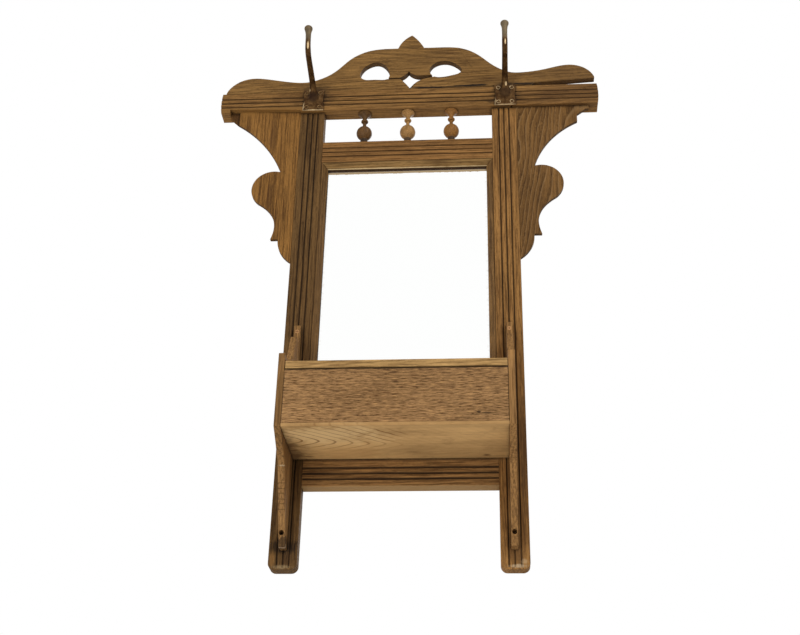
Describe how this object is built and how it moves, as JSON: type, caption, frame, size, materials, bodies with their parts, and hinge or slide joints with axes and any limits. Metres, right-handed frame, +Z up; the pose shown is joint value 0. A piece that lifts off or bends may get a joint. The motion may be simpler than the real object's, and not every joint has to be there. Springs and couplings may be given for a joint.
{
  "type": "wall shaving cabinet",
  "caption": "Oak wall shaving cabinet: reeded frame with mirror, scroll-cut crest and wings, turned spindles, hat hooks and a comb box with a hinged lid.",
  "frame": {"origin": "centre of the crest rail's back face, in the wall plane", "axes": "+Z up, -Y out of the wall towards the user, +X to the right when facing the cabinet"},
  "size_m": [0.6, 0.1301, 0.898],
  "materials": {
    "oak_frame": "aged oak under worn varnish",
    "oak_crest": "aged oak under worn varnish",
    "oak_wing": "golden aged oak, worn varnish",
    "oak_bead": "aged oak, dark in the corners",
    "turned_birch": "turned, dark varnish",
    "dowel_wood": "bare wood, hidden",
    "oak_box": "open-pored aged oak",
    "pale_board": "pale softer wood, thin varnish",
    "backboard_wood": "bare thin board",
    "mirror": "silvered glass",
    "aged_brass": "cast, darkened with age",
    "hook_screw_brass": "worn bright rims",
    "hinge_brass": "dull",
    "steel": "dull and dark"
  },
  "bodies": {
    "cabinet": {"crest_rail": "oak_frame", "left_stile": "oak_frame", "right_stile": "oak_frame", "top_rail": "oak_frame", "bottom_rail": "oak_frame", "crest_board": "oak_crest", "left_wing": "oak_wing", "right_wing": "oak_wing", "bead_top": "oak_bead", "bead_bottom": "oak_bead", "bead_left": "oak_bead", "bead_right": "oak_bead", "spindle_left": "turned_birch", "spindle_centre": "turned_birch", "spindle_right": "turned_birch", "crest_dowels": "dowel_wood", "wing_dowels": "dowel_wood", "box_side_left": "oak_box", "box_side_right": "oak_box", "box_front": "oak_box", "box_back": "oak_box", "box_bottom": "pale_board", "mirror_backboard": "backboard_wood", "mirror_glass": "mirror", "left_hook": "aged_brass", "right_hook": "aged_brass", "left_hook_screws": "hook_screw_brass", "right_hook_screws": "hook_screw_brass", "hinge_fixed_leaves": "hinge_brass", "hinge_fixed_screws": "hinge_brass", "side_screws": "steel", "box_nails": "steel", "hinge_pins": "steel", "glazing_pins": "steel", "hanger_plates": "steel", "hanger_screws": "steel"},
    "lid": {"box_lid": "oak_box", "hinge_lid_leaves": "hinge_brass", "hinge_lid_screws": "hinge_brass"}
  },
  "joints": [
    {"name": "lid_hinge", "type": "hinge", "parent": "cabinet", "child": "lid", "pos_m": [0, -0.032, -0.51625], "axis": [-1, 0, 0], "range_deg": [0, 95]}
  ]
}
